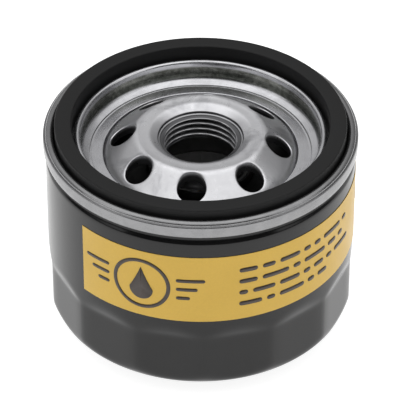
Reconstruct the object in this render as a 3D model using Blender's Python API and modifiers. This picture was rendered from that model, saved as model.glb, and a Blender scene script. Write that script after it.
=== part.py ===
"""A short spin-on oil filter for a small engine, standing on its closed end with the gasket up.

Blender 4.5, metres, +Z up. The origin is on the filter's axis, at the bottom of the can.
"""

import math

import bmesh
import bpy
from mathutils import Matrix, Vector

MM = 0.001

# Driving dimensions, in millimetres
HEIGHT = 57.0  # bottom pad to the top of the gasket
SEAM_R = 38.1  # outside of the double seam, the widest place
CAN_R = 37.6  # can wall above the flutes
CLEARANCE = 0.3  # between pieces that rest on each other
FLUTES = 14
FLUTE_TURN = 1.3  # degrees from the front to the nearest ridge
FLUTE_APOTHEM = 36.75  # axis to the middle of a flat
FLUTE_TOP_Z = 19.8  # top of a flat, where its chamfer starts
FLUTE_CHAMFER_SLOPE = 0.34  # outward per millimetre up
CAN_SHEET = 0.5
LID_SHEET = 0.5
CAP_SHEET = 0.5

THREAD_MINOR_R = 8.7  # 3/4-16 UNF, cut or rolled in the hub
HUB_COLLAR_R = 11.6
HUB_COLLAR_Z = 44.6  # lower end of the threaded collar
PLATE_THICKNESS = 2.5
INLETS = 8
INLET_TURN = -6.5  # degrees from the front to the nearest inlet
INLET_R = 18.9  # axis to the middle of an inlet
INLET_WIDE = 6.9
INLET_LONG = 6.1  # along the radius

GASKET_IN_R = 31.2
GASKET_OUT_R = 35.3
GROOVE_Z = 50.8  # floor of the gasket groove

LABEL_LOW_Z = 25.5
LABEL_HIGH_Z = 44.8
LABEL_START = -48.0  # degrees round from the front, towards +X
LABEL_SPAN = 250.0
LABEL_SHEET = 0.15
LABEL_GAP = 0.1
LABEL_STEPS = 50

TOP_CAP_Z = 39.3  # top face of the upper end cap
LOW_CAP_Z = 10.0  # bottom face of the lower end cap
CAP_R = 32.8
TUBE_R = 12.9
TUBE_SHEET = 0.5
PLEATS = 28
PLEAT_OUT_R = 31.0
PLEAT_IN_R = 14.8
PAPER = 0.5
FOLD_HALF = 0.9  # half the width of a fold
CLIP_DEPTH = 3.0
CLIP_SHEET = 0.4
POTTING = 1.2
POTTING_IN_R = 13.6
POTTING_OUT_R = 31.9
CAP_RIM = 3.3  # depth of an end cap's turned rim
CAP_NECK = 5.7  # height of the upper cap's neck, which the valve's collar grips
LOW_CAP_HOLE_R = 7.0
TUBE_HOLE_R = 1.9
TUBE_HOLE_ROWS = 3
TUBE_HOLES_AROUND = 5

VALVE_TRAVEL = 1.2  # of the anti-drain valve's lip
BYPASS_Z = 10.8  # underside of the bypass valve's seat

CAN_SIDES = 56  # a multiple of FLUTES
RING_SIDES = 40
SMALL_SIDES = 28


# Materials: colour, roughness, metallic
MATERIALS = {
    "black_paint": ((0.018, 0.018, 0.019), 0.32, 0.0),
    "galvanised_steel": ((0.62, 0.62, 0.64), 0.30, 1.0),
    "plated_steel": ((0.66, 0.67, 0.69), 0.34, 1.0),
    "spring_steel": ((0.40, 0.40, 0.41), 0.30, 1.0),
    "nitrile_rubber": ((0.022, 0.022, 0.023), 0.62, 0.0),
    "valve_rubber": ((0.03, 0.03, 0.032), 0.55, 0.0),
    "seal_compound": ((0.22, 0.24, 0.23), 0.7, 0.0),
    "yellow_print": ((0.62, 0.41, 0.10), 0.42, 0.0),
    "filter_paper": ((0.72, 0.55, 0.28), 0.9, 0.0),
    "potting": ((0.20, 0.17, 0.14), 0.6, 0.0),
}


def clear_scene():
    for obj in list(bpy.data.objects):
        bpy.data.objects.remove(obj, do_unlink=True)


def make_material(name):
    colour, roughness, metallic = MATERIALS[name]
    material = bpy.data.materials.new(name)
    material.use_nodes = True
    shader = material.node_tree.nodes["Principled BSDF"]
    shader.inputs["Base Color"].default_value = (*colour, 1.0)
    shader.inputs["Roughness"].default_value = roughness
    shader.inputs["Metallic"].default_value = metallic
    return material


def material_of(name):
    return bpy.data.materials.get(name) or make_material(name)


def collection_of(name):
    found = bpy.data.collections.get(name)
    if found is None:
        found = bpy.data.collections.new(name)
        bpy.context.scene.collection.children.link(found)
    return found


def add_object(name, data):
    obj = bpy.data.objects.new(name, data)
    collection_of("oil_filter").objects.link(obj)
    return obj


def finish(obj, material, angle=35.0):
    """Bakes the modifiers, shades the piece smooth with its edges sharp, and gives it its material."""
    bpy.context.view_layer.update()
    graph = bpy.context.evaluated_depsgraph_get()
    mesh = bpy.data.meshes.new_from_object(obj.evaluated_get(graph))
    obj.modifiers.clear()
    obj.data = mesh
    mesh.name = obj.name
    mesh.materials.clear()
    mesh.materials.append(material_of(material))
    mesh.shade_smooth()
    mesh.set_sharp_from_angle(angle=math.radians(angle))
    return obj


def arc(centre, radius, start, end, steps):
    """Points on a circle in the (r, z) plane, from one angle to another in degrees."""
    points = []
    for i in range(steps + 1):
        angle = math.radians(start + (end - start) * i / steps)
        points.append((centre[0] + radius * math.cos(angle), centre[1] + radius * math.sin(angle)))
    return points


def signed_area(points):
    total = 0.0
    for (r0, z0), (r1, z1) in zip(points, points[1:] + points[:1]):
        total += r0 * z1 - r1 * z0
    return total / 2


def turned(name, profile, sides, turn=0.0):
    """A solid of revolution. A profile that starts and ends on the axis stays open there."""
    on_axis = profile[0][0] == 0 and profile[-1][0] == 0
    points = list(profile)
    if signed_area(points) > 0:
        points.reverse()
    mesh = bpy.data.meshes.new(name)
    edges = [(i, i + 1) for i in range(len(points) - 1)]
    if not on_axis:
        edges.append((len(points) - 1, 0))
    mesh.from_pydata([(r * MM, 0, z * MM) for r, z in points], edges, [])
    obj = add_object(name, mesh)
    screw = obj.modifiers.new("Turn", "SCREW")
    screw.axis = "Z"
    screw.angle = math.tau
    screw.steps = sides
    screw.render_steps = sides
    screw.use_merge_vertices = True
    screw.merge_threshold = 0.00001
    obj.rotation_euler.z = math.radians(turn)
    return obj


def strip(path, thickness):
    """The closed outline of a sheet whose upper side follows a path, its thickness to the right of it."""
    inner = []
    for i, (r, z) in enumerate(path):
        sides = []
        if i > 0:
            sides.append(Vector((r - path[i - 1][0], z - path[i - 1][1])).normalized())
        if i < len(path) - 1:
            sides.append(Vector((path[i + 1][0] - r, path[i + 1][1] - z)).normalized())
        along = sum(sides, Vector((0.0, 0.0))).normalized()
        right = Vector((along.y, -along.x))
        reach = thickness / max(right.dot(Vector((sides[0].y, -sides[0].x))), 0.5)
        inner.append((r + right.x * reach, z + right.y * reach))
    return list(path) + inner[::-1]


def cutter_from(obj):
    """Moves an object to the cutters' collection and hides it."""
    for found in list(obj.users_collection):
        found.objects.unlink(obj)
    collection_of("cutters").objects.link(obj)
    obj.hide_render = True
    obj.display_type = "WIRE"
    return obj


def boolean(obj, cutter, operation="DIFFERENCE"):
    """Applies a cutter and removes it."""
    modifier = obj.modifiers.new(operation.title(), "BOOLEAN")
    modifier.operation = operation
    modifier.solver = "EXACT"
    modifier.object = cutter_from(cutter)
    bpy.context.view_layer.update()
    graph = bpy.context.evaluated_depsgraph_get()
    mesh = bpy.data.meshes.new_from_object(obj.evaluated_get(graph))
    obj.modifiers.clear()
    obj.data = mesh
    bpy.data.objects.remove(cutter, do_unlink=True)
    return obj


def pins(name, places, radius, length, sides, along=None):
    """Separate cylinders in one mesh, centred on the places; along turns each to lie on its radius."""
    mesh = bpy.data.meshes.new(name)
    builder = bmesh.new()
    for place in places:
        matrix = Matrix.Translation(Vector(place) * MM)
        if along:
            matrix = matrix @ Vector((place[0], place[1], 0)).to_track_quat("Z", "Y").to_matrix().to_4x4()
        bmesh.ops.create_cone(
            builder,
            cap_ends=True,
            segments=sides,
            radius1=radius * MM,
            radius2=radius * MM,
            depth=length * MM,
            matrix=matrix,
        )
    builder.to_mesh(mesh)
    builder.free()
    return add_object(name, mesh)


def mesh_from_curve(curve, lift=0.0):
    """A closed mesh object in place of a curve, its caps welded on, raised by a height in millimetres."""
    source = add_object(curve.name + "_curve", curve)
    bpy.context.view_layer.update()
    graph = bpy.context.evaluated_depsgraph_get()
    mesh = bpy.data.meshes.new_from_object(source.evaluated_get(graph))
    bpy.data.objects.remove(source, do_unlink=True)
    builder = bmesh.new()
    builder.from_mesh(mesh)
    bmesh.ops.remove_doubles(builder, verts=builder.verts, dist=0.00001)
    bmesh.ops.recalc_face_normals(builder, faces=builder.faces)
    builder.transform(Matrix.Translation((0, 0, lift * MM)))
    builder.to_mesh(mesh)
    builder.free()
    return add_object(curve.name, mesh)


def coil(name, radius, low, high, turns, per_turn, wire):
    """A round wire along a helix between two heights of its centre line."""
    curve = bpy.data.curves.new(name, "CURVE")
    curve.dimensions = "3D"
    curve.bevel_depth = wire / 2 * MM
    curve.bevel_resolution = 2
    curve.use_fill_caps = True
    spline = curve.splines.new("POLY")
    count = int(turns * per_turn)
    spline.points.add(count)
    for i in range(count + 1):
        share = i / count
        x, y = polar(radius, 360 * turns * share)
        z = low + (high - low) * share
        spline.points[i].co = (x * MM, y * MM, z * MM, 1)
    return mesh_from_curve(curve)


def extruded(name, loops, low, high):
    """A flat outline, given as one or more closed loops of points, extruded between two heights."""
    curve = bpy.data.curves.new(name, "CURVE")
    curve.dimensions = "2D"
    curve.fill_mode = "BOTH"
    curve.extrude = (high - low) / 2 * MM
    for loop in loops:
        spline = curve.splines.new("POLY")
        spline.points.add(len(loop) - 1)
        spline.use_cyclic_u = True
        for point, (x, y) in zip(spline.points, loop):
            point.co = (x * MM, y * MM, 0, 1)
    return mesh_from_curve(curve, (low + high) / 2)


def polar(radius, degrees):
    """A point at an angle round from the front (-Y) towards +X."""
    angle = math.radians(degrees)
    return radius * math.sin(angle), -radius * math.cos(angle)


# The can ---------------------------------------------------------------------

CAN_PAD_R = 14.0
CAN_CORNER = 5.5
CAN_CORNER_Z = 9.1  # height of the corner's centre
NECK_R = 36.9
NECK_LOW_Z = 48.5
NECK_HIGH_Z = 50.3
FLANGE_R = 37.3
FLANGE_LOW_Z = 52.9
RIM_Z = 53.5


def can_round(inset):
    """The can's turned form without its flutes, from the pad to the neck, drawn in by a wall thickness."""
    profile = [(0, inset), (CAN_PAD_R, inset)]
    profile += arc((CAN_R - CAN_CORNER, CAN_CORNER_Z), CAN_CORNER - inset, -78, 0, 6)
    profile += [(CAN_R - inset, NECK_LOW_Z), (CAN_R - inset - 0.25, NECK_LOW_Z + 0.9)]
    profile += [(NECK_R - inset, NECK_HIGH_Z)]
    return profile


def flute_prism(inset):
    """A prism with one side for each flute, which opens out above them."""
    apothem = FLUTE_APOTHEM - inset
    to_corner = 1 / math.cos(math.pi / FLUTES)
    rise = 20.0
    wide = (apothem + FLUTE_CHAMFER_SLOPE * rise) * to_corner
    profile = [
        (0, -5),
        (apothem * to_corner, -5),
        (apothem * to_corner, FLUTE_TOP_Z),
        (wide, FLUTE_TOP_Z + rise),
        (wide, HEIGHT + 5),
        (0, HEIGHT + 5),
    ]
    return turned("flute_prism", profile, FLUTES, FLUTE_TURN - 90)


def make_can():
    outside = can_round(0) + [
        (NECK_R, FLANGE_LOW_Z),
        (FLANGE_R, FLANGE_LOW_Z),
        (FLANGE_R, RIM_Z),
        (0, RIM_Z),
    ]
    inside = can_round(CAN_SHEET) + [(NECK_R - CAN_SHEET, RIM_Z + 2), (0, RIM_Z + 2)]
    can = turned("can", outside, CAN_SIDES, FLUTE_TURN - 90)
    hollow = turned("can_hollow", inside, CAN_SIDES, FLUTE_TURN - 90)
    boolean(can, flute_prism(0), "INTERSECT")
    boolean(hollow, flute_prism(CAN_SHEET), "INTERSECT")
    boolean(can, hollow)
    return finish(can, "black_paint", 25)


# The lid and the base plate ----------------------------------------------------

LID_EDGE_R = 23.7
LID_RING_Z = 48.2
LIP_IN_R = 29.1
LIP_OUT_R = 30.5
LIP_CREST_Z = 53.85
SEAM_IN_R = 35.6
CROWN_Z = 54.9
SKIRT_Z = 51.0


def make_seaming_lid():
    lip_round = (LIP_OUT_R - LIP_IN_R) / 2
    crown_round = 1.25
    path = [(LID_EDGE_R, LID_RING_Z), (LIP_IN_R - 1.3, LID_RING_Z)]
    path += arc((LIP_IN_R - 1.0, LID_RING_Z + 1.0), 1.0, -60, 0, 2)
    path += arc((LIP_IN_R + lip_round, LIP_CREST_Z - lip_round), lip_round, 180, 0, 3)
    path += [(LIP_OUT_R, GROOVE_Z + 0.3), (LIP_OUT_R + 0.3, GROOVE_Z)]
    path += [(SEAM_IN_R - 0.3, GROOVE_Z), (SEAM_IN_R, GROOVE_Z + 0.3)]
    path += arc((SEAM_IN_R + crown_round, CROWN_Z - crown_round), crown_round, 180, 0, 4)
    path += [(SEAM_R, SKIRT_Z), (SEAM_R - LID_SHEET - 0.4, SKIRT_Z)]
    lid = turned("seaming_lid", strip(path, LID_SHEET), RING_SIDES)
    return finish(lid, "galvanised_steel")


HUB_TOP_Z = 53.55  # crest of the hump round the sunken thread
MOUTH_R = 10.4
MOUTH_Z = 52.35
FLANGE_TOP_Z = LID_RING_Z - LID_SHEET - CLEARANCE
PLATE_R = 32.0
CONE_OUT_R = 22.2
CONE_OUT_Z = 49.0


def make_base_plate():
    under_z = FLANGE_TOP_Z - PLATE_THICKNESS
    profile = [(THREAD_MINOR_R, MOUTH_Z - 1.0), (MOUTH_R - 0.25, MOUTH_Z - 0.7), (MOUTH_R, MOUTH_Z)]
    profile += [(11.3, 52.9), (12.3, 53.38), (14.0, 53.45), (15.4, HUB_TOP_Z), (16.1, 53.38)]
    profile += [(16.6, 53.02), (CONE_OUT_R, CONE_OUT_Z)]
    profile += [(23.3, FLANGE_TOP_Z + 0.5), (23.6, FLANGE_TOP_Z)]
    profile += [(PLATE_R, FLANGE_TOP_Z), (PLATE_R, under_z), (22.9, under_z)]
    profile += [(21.4, 47.1), (15.8, 51.1), (13.8, 51.35), (12.4, 50.9), (HUB_COLLAR_R, 49.8)]
    profile += [(HUB_COLLAR_R, HUB_COLLAR_Z), (THREAD_MINOR_R + 0.8, HUB_COLLAR_Z)]
    profile += [(THREAD_MINOR_R, HUB_COLLAR_Z + 0.8)]
    plate = turned("base_plate", profile, RING_SIDES)
    places = []
    for i in range(INLETS):
        places.append((*polar(INLET_R, INLET_TURN + 360 * i / INLETS), 48.0))
    holes = pins("inlet_cutter", places, INLET_WIDE / 2, 14, 16)
    stretch_radially(holes, INLET_R, INLET_LONG / INLET_WIDE)
    boolean(plate, holes)
    return finish(plate, "plated_steel")


def stretch_radially(obj, radius, factor):
    """Stretches round cutters that stand on a circle into ovals along the radius."""
    for vertex in obj.data.vertices:
        flat = Vector((vertex.co.x, vertex.co.y, 0))
        step = math.tau / INLETS
        turn = math.atan2(flat.x, -flat.y) - math.radians(INLET_TURN)
        middle = round(turn / step) * step + math.radians(INLET_TURN)
        outward = Vector((math.sin(middle), -math.cos(middle), 0))
        past = flat.dot(outward) - radius * MM
        vertex.co += outward * past * (factor - 1)


def make_gasket():
    round_r = 0.4
    low = GROOVE_Z + CLEARANCE
    profile = [(GASKET_IN_R, HEIGHT - 0.3), (GASKET_IN_R + 0.3, HEIGHT)]
    profile += arc((GASKET_OUT_R - round_r, HEIGHT - round_r), round_r, 90, 0, 3)
    profile += [(GASKET_OUT_R, low + 0.4), (GASKET_OUT_R - 0.4, low)]
    profile += [(GASKET_IN_R + 0.2, low), (GASKET_IN_R, low + 0.2)]
    return finish(turned("gasket", profile, RING_SIDES), "nitrile_rubber")


BEAD_IN_R = 36.5
BEAD_OUT_R = 37.0
BEAD_HIGH = 0.3


def make_seam_compound():
    low = RIM_Z + CLEARANCE
    high = low + BEAD_HIGH
    profile = [(BEAD_IN_R, low), (BEAD_IN_R, high), (BEAD_OUT_R, high), (BEAD_OUT_R, low)]
    return finish(turned("seam_compound", profile, RING_SIDES), "seal_compound")


def make_label():
    inner = CAN_R + LABEL_GAP
    outer = inner + LABEL_SHEET
    profile = [(outer, LABEL_HIGH_Z), (outer, LABEL_LOW_Z), (inner, LABEL_LOW_Z), (inner, LABEL_HIGH_Z)]
    label = turned("label", profile, LABEL_STEPS, LABEL_START - 90)
    screw = label.modifiers["Turn"]
    screw.angle = math.radians(LABEL_SPAN)
    screw.use_merge_vertices = False
    finish(label, "yellow_print")
    cap_open_ends(label)
    return label


def cap_open_ends(obj):
    builder = bmesh.new()
    builder.from_mesh(obj.data)
    bmesh.ops.holes_fill(builder, edges=builder.edges, sides=0)
    bmesh.ops.recalc_face_normals(builder, faces=builder.faces)
    builder.to_mesh(obj.data)
    builder.free()


# The anti-drain valve ------------------------------------------------------------

def make_anti_drain_valve():
    low = TOP_CAP_Z + CLEARANCE + VALVE_TRAVEL
    lip_z = FLANGE_TOP_Z - PLATE_THICKNESS - CLEARANCE
    inner = TUBE_R + 0.2
    profile = [(inner, low + 2.4), (15.2, low + 2.4), (16.5, low + 2.0)]
    profile += [(25.2, lip_z - 0.5), (25.6, lip_z), (26.8, lip_z), (27.2, lip_z - 0.6)]
    profile += [(26.4, lip_z - 1.3), (16.4, low + 0.6), (15.4, low), (inner, low)]
    return finish(turned("anti_drain_valve", profile, 36), "valve_rubber")


# The cartridge -------------------------------------------------------------------

def make_end_cap(name, face, inward, neck):
    """A pressed cap. Its rim turns towards the paper, and its neck, if it has one, away from it."""
    rim = CAP_RIM * inward
    sheet = CAP_SHEET * inward
    profile = [(CAP_R, face + rim), (CAP_R, face + 0.5 * inward), (CAP_R - 0.5, face)]
    if neck:
        neck_z = face - neck * inward
        profile += [(TUBE_R - 0.1, face), (TUBE_R - 0.1, neck_z), (TUBE_R - 0.6, neck_z)]
        profile += [(TUBE_R - 0.6, face + sheet)]
    else:
        profile += [(LOW_CAP_HOLE_R, face), (LOW_CAP_HOLE_R, face + sheet)]
    profile += [(CAP_R - 0.5, face + sheet), (CAP_R - 0.5, face + rim)]
    return finish(turned(name, profile, 40), "plated_steel")


def make_potting(name, low):
    profile = [(POTTING_IN_R, low), (POTTING_IN_R, low + POTTING)]
    profile += [(POTTING_OUT_R, low + POTTING), (POTTING_OUT_R, low)]
    return finish(turned(name, profile, 40), "potting")


def pleat_loop(tip_r, tip_half, root_r, root_half):
    """One side of the pleated paper: each fold is a short flat of a given half width."""
    points = []
    for i in range(PLEATS):
        tip = 360.0 * i / PLEATS
        root = 360.0 * (i + 0.5) / PLEATS
        tip_turn = math.degrees(tip_half / tip_r)
        root_turn = math.degrees(root_half / root_r)
        points.append(polar(tip_r, tip - tip_turn))
        points.append(polar(tip_r, tip + tip_turn))
        points.append(polar(root_r, root - root_turn))
        points.append(polar(root_r, root + root_turn))
    return points


def make_filter_media(low, high):
    outside = pleat_loop(PLEAT_OUT_R, FOLD_HALF, PLEAT_IN_R + PAPER, FOLD_HALF - 0.65)
    inside = pleat_loop(PLEAT_OUT_R - PAPER, FOLD_HALF - PAPER, PLEAT_IN_R, FOLD_HALF - 0.15)
    return finish(extruded("filter_media", (outside, inside), low, high), "filter_paper", 20)


def make_media_clip(low, high):
    """A folded strip over the outer fold where the two ends of the paper meet."""
    half = FOLD_HALF + CLEARANCE
    front = -PLEAT_OUT_R - CLEARANCE
    back = front + CLIP_DEPTH
    outline = [(half + CLIP_SHEET, back), (half + CLIP_SHEET, front - CLIP_SHEET)]
    outline += [(-half - CLIP_SHEET, front - CLIP_SHEET), (-half - CLIP_SHEET, back)]
    outline += [(-half, back), (-half, front), (half, front), (half, back)]
    return finish(extruded("media_clip", (outline,), low, high), "plated_steel", 20)


def make_centre_tube(low, high):
    inner = TUBE_R - TUBE_SHEET
    profile = [(TUBE_R, high), (TUBE_R, low), (inner, low), (inner, high)]
    tube = turned("centre_tube", profile, SMALL_SIDES)
    places = []
    for row in range(TUBE_HOLE_ROWS):
        z = low + (high - low) * (row + 0.75) / (TUBE_HOLE_ROWS + 0.5)
        for i in range(TUBE_HOLES_AROUND):
            places.append((*polar(TUBE_R, 360 * (i + row % 2 / 2) / TUBE_HOLES_AROUND), z))
    boolean(tube, pins("tube_hole_cutter", places, TUBE_HOLE_R, 4, 8, along=True))
    return finish(tube, "plated_steel")


# The bypass valve ------------------------------------------------------------------

SEAT_SHEET = 0.6
SEAL_THICK = 1.0
DISC_THICK = 0.6
STEM_R = 1.4
CAGE_Z = 21.6  # top of the cage
CAGE_R = 10.2
CAGE_FOOT_R = 11.6
CAGE_LEGS = 3
SEAT_IN_R = 5.0
SEAT_OUT_R = 11.8
SEAL_IN_R = 4.0
SEAL_OUT_R = 7.6
DISC_R = 7.2
BYPASS_WIRE = 0.6
BYPASS_COIL_R = 3.4
BYPASS_TURNS = 3.5
ELEMENT_WIRE = 1.8
ELEMENT_COIL_R = 11.6
ELEMENT_TURNS = 3


def make_bypass_seat():
    profile = [(SEAT_OUT_R, BYPASS_Z + SEAT_SHEET), (SEAT_OUT_R, BYPASS_Z), (SEAT_IN_R, BYPASS_Z)]
    profile += [(SEAT_IN_R, BYPASS_Z + SEAT_SHEET)]
    return finish(turned("bypass_seat", profile, SMALL_SIDES), "plated_steel")


def seal_low_z():
    return BYPASS_Z + SEAT_SHEET + CLEARANCE


def disc_low_z():
    return seal_low_z() + SEAL_THICK + CLEARANCE


def disc_top_z():
    return disc_low_z() + DISC_THICK


def make_bypass_seal():
    low = seal_low_z()
    high = low + SEAL_THICK
    profile = [(SEAL_OUT_R, high), (SEAL_OUT_R, low), (SEAL_IN_R, low), (SEAL_IN_R, high)]
    return finish(turned("bypass_seal", profile, SMALL_SIDES), "valve_rubber")


def make_bypass_disc():
    low = disc_low_z()
    top = disc_top_z()
    profile = [(0, CAGE_Z + 0.6), (STEM_R, CAGE_Z + 0.6), (STEM_R, top)]
    profile += [(DISC_R, top), (DISC_R, low), (0, low)]
    return finish(turned("bypass_disc", profile, SMALL_SIDES), "plated_steel")


def make_bypass_spring():
    low = disc_top_z() + CLEARANCE + BYPASS_WIRE / 2
    high = CAGE_Z - SEAT_SHEET - CLEARANCE - BYPASS_WIRE / 2
    spring = coil("bypass_spring", BYPASS_COIL_R, low, high, BYPASS_TURNS, 10, BYPASS_WIRE)
    return finish(spring, "spring_steel", 60)


def make_bypass_cage():
    low = BYPASS_Z + SEAT_SHEET + CLEARANCE
    inner = CAGE_R - SEAT_SHEET
    profile = [(STEM_R + 0.4, CAGE_Z), (CAGE_R - 0.5, CAGE_Z), (CAGE_R, CAGE_Z - 0.5)]
    profile += [(CAGE_R, low + SEAT_SHEET)]
    profile += [(CAGE_FOOT_R, low + SEAT_SHEET), (CAGE_FOOT_R, low), (inner, low)]
    profile += [(inner, CAGE_Z - SEAT_SHEET)]
    profile += [(STEM_R + 0.4, CAGE_Z - SEAT_SHEET)]
    cage = turned("bypass_cage", profile, SMALL_SIDES)
    window_low = low + 1.4
    window_high = CAGE_Z - 1.8
    places = []
    for i in range(CAGE_LEGS):
        places.append((*polar(CAGE_R, 360 * i / CAGE_LEGS), (window_low + window_high) / 2))
    windows = boxes("cage_cutter", places, (10.5, 4, window_high - window_low))
    boolean(cage, windows)
    return finish(cage, "plated_steel")


def boxes(name, places, size):
    """Separate boxes in one mesh, each with its second side along the radius through its centre."""
    mesh = bpy.data.meshes.new(name)
    builder = bmesh.new()
    for place in places:
        turn = math.atan2(place[1], place[0]) - math.pi / 2
        matrix = Matrix.Translation(Vector(place) * MM) @ Matrix.Rotation(turn, 4, "Z")
        matrix = matrix @ Matrix.Diagonal((*(side * MM for side in size), 1))
        bmesh.ops.create_cube(builder, size=1, matrix=matrix)
    builder.to_mesh(mesh)
    builder.free()
    return add_object(name, mesh)


def make_element_spring():
    low = CAN_SHEET + CLEARANCE + ELEMENT_WIRE / 2
    high = LOW_CAP_Z - CLEARANCE - ELEMENT_WIRE / 2
    spring = coil("element_spring", ELEMENT_COIL_R, low, high, ELEMENT_TURNS, 13, ELEMENT_WIRE)
    return finish(spring, "spring_steel", 60)


def main():
    clear_scene()
    make_can()
    make_seaming_lid()
    make_base_plate()
    make_gasket()
    make_seam_compound()
    make_label()
    make_anti_drain_valve()
    tube_low = LOW_CAP_Z + CAP_SHEET + CLEARANCE
    tube_high = TOP_CAP_Z - CAP_SHEET - CLEARANCE
    paper_low = tube_low + POTTING + CLEARANCE
    paper_high = tube_high - POTTING - CLEARANCE
    make_end_cap("top_end_cap", TOP_CAP_Z, -1, CAP_NECK)
    make_end_cap("bottom_end_cap", LOW_CAP_Z, 1, 0)
    make_potting("top_potting", tube_high - POTTING)
    make_potting("bottom_potting", tube_low)
    make_centre_tube(tube_low, tube_high)
    make_filter_media(paper_low, paper_high)
    make_media_clip(paper_low, paper_high)
    make_bypass_seat()
    make_bypass_seal()
    make_bypass_disc()
    make_bypass_spring()
    make_bypass_cage()
    make_element_spring()


main()
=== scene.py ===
"""The looks of a short spin-on oil filter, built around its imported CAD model."""

import math
import random

import bmesh
import bpy
from mathutils import Matrix, Vector


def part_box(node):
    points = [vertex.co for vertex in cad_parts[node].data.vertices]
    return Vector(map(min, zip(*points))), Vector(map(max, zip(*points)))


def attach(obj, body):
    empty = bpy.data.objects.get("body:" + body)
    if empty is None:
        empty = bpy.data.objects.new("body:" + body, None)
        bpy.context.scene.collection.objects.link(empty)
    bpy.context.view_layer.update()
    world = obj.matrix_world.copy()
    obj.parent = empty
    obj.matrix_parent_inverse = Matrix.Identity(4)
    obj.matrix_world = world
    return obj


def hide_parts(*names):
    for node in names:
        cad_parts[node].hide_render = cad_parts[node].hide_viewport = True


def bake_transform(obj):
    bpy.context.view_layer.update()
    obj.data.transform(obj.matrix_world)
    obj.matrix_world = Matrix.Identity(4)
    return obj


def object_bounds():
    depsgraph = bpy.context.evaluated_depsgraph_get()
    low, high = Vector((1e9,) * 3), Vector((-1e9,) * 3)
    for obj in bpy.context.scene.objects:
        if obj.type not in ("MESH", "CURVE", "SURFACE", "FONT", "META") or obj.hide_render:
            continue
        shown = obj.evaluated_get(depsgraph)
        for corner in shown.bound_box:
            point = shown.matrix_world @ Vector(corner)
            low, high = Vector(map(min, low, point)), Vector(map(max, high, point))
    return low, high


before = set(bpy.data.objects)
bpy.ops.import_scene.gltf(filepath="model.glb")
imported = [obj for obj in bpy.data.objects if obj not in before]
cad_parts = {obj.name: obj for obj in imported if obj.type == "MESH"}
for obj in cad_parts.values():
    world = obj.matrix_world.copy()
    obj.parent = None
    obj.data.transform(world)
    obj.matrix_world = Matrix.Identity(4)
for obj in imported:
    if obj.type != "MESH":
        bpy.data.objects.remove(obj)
cad_low, cad_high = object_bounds()

MM = 0.001
TAU = math.tau

# Sizes that come from the frame, in millimetres


def box_mm(node):
    low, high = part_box(node)
    return low / MM, high / MM


HEIGHT = cad_high.z / MM
SEAM_R = (cad_high.x - cad_low.x) / 2 / MM
CAN_R = (box_mm("can")[1].x - box_mm("can")[0].x) / 2
RIM_Z = box_mm("can")[1].z
LABEL_LOW_Z = box_mm("label")[0].z
LABEL_HIGH_Z = box_mm("label")[1].z
GASKET_LOW_Z = box_mm("gasket")[0].z
GASKET_OUT_R = box_mm("gasket")[1].x
LID_LOW_Z = box_mm("seaming_lid")[0].z
CROWN_Z = box_mm("seaming_lid")[1].z
PLATE_LOW_Z = box_mm("base_plate")[0].z
HUB_TOP_Z = box_mm("base_plate")[1].z
PLATE_R = box_mm("base_plate")[1].x
CAP_RIM = 3.3
TOP_CAP_Z = box_mm("top_end_cap")[0].z + CAP_RIM
TOP_CAP_NECK_Z = box_mm("top_end_cap")[1].z
LOW_CAP_Z = box_mm("bottom_end_cap")[0].z
CAP_R = box_mm("top_end_cap")[1].x

# Sizes of the shapes, repeated from the CAD model, in millimetres and degrees

SHEET = 0.5
FLUTES = 14
FLUTE_TURN = 1.3
FLUTE_APOTHEM = 36.75
FLUTE_TOP_Z = 19.8
FLUTE_CHAMFER_SLOPE = 0.34
INLETS = 8
INLET_TURN = -6.5
INLET_R = 18.9
INLET_WIDE = 6.9
INLET_LONG = 6.1
THREAD_PITCH = 25.4 / 16
THREAD_MINOR_R = 8.7
THREAD_DEPTH = 0.86
HELIX_Z = 45.32
MOUTH_R = 10.4
MOUTH_Z = 52.3
LEDGE_Z = 51.71
CONE_APEX_Z = 64.97
CONE_SLOPE = 0.72
COLLAR_R = 11.6
GASKET_IN_R = 31.2
LID_EDGE_R = 23.7
LIP_IN_R = 29.1
LIP_OUT_R = 30.5
LIP_CREST_Z = 53.85
GROOVE_Z = 50.8
GROOVE_OUT_R = 35.6
SKIRT_Z = 51.0
LABEL_START = -48.0
LABEL_SPAN = 250.0
TUBE_R = 12.9
BEAD_R = 36.75


# Small geometry helpers --------------------------------------------------------


def arc(centre, radius, start, end, steps):
    """Points on a circle in the (r, z) plane, from one angle to another in degrees."""
    points = []
    for i in range(steps + 1):
        angle = math.radians(start + (end - start) * i / steps)
        points.append((centre[0] + radius * math.cos(angle), centre[1] + radius * math.sin(angle)))
    return points


def curve_through(points, steps):
    """A smooth Catmull-Rom line through (r, z) points."""
    padded = [points[0], *points, points[-1]]
    line = []
    for a, b, c, d in zip(padded, padded[1:], padded[2:], padded[3:]):
        for i in range(steps):
            t = i / steps
            line.append(tuple(catmull(a[k], b[k], c[k], d[k], t) for k in (0, 1)))
    line.append(points[-1])
    return line


def catmull(a, b, c, d, t):
    return 0.5 * (2 * b + (c - a) * t + (2 * a - 5 * b + 4 * c - d) * t * t + (3 * b - a - 3 * c + d) * t**3)


def height_on(points):
    """A function of r that follows a line of (r, z) points from the inside out."""
    line = sorted(curve_through(points, 12))

    def height(r):
        if r <= line[0][0]:
            return line[0][1]
        for (r0, z0), (r1, z1) in zip(line, line[1:]):
            if r <= r1:
                return z0 + (z1 - z0) * (r - r0) / max(r1 - r0, 1e-9)
        return line[-1][1]

    return height


def smooth_min(a, b, width):
    """The smaller of two lengths, with the corner where they cross rounded over a width."""
    share = min(max(0.5 + 0.5 * (b - a) / width, 0.0), 1.0)
    return b + (a - b) * share - width * share * (1 - share)


def polar(radius, degrees):
    """A point at an angle round from the front (-Y) towards +X."""
    angle = math.radians(degrees)
    return radius * math.sin(angle), -radius * math.cos(angle)


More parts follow.
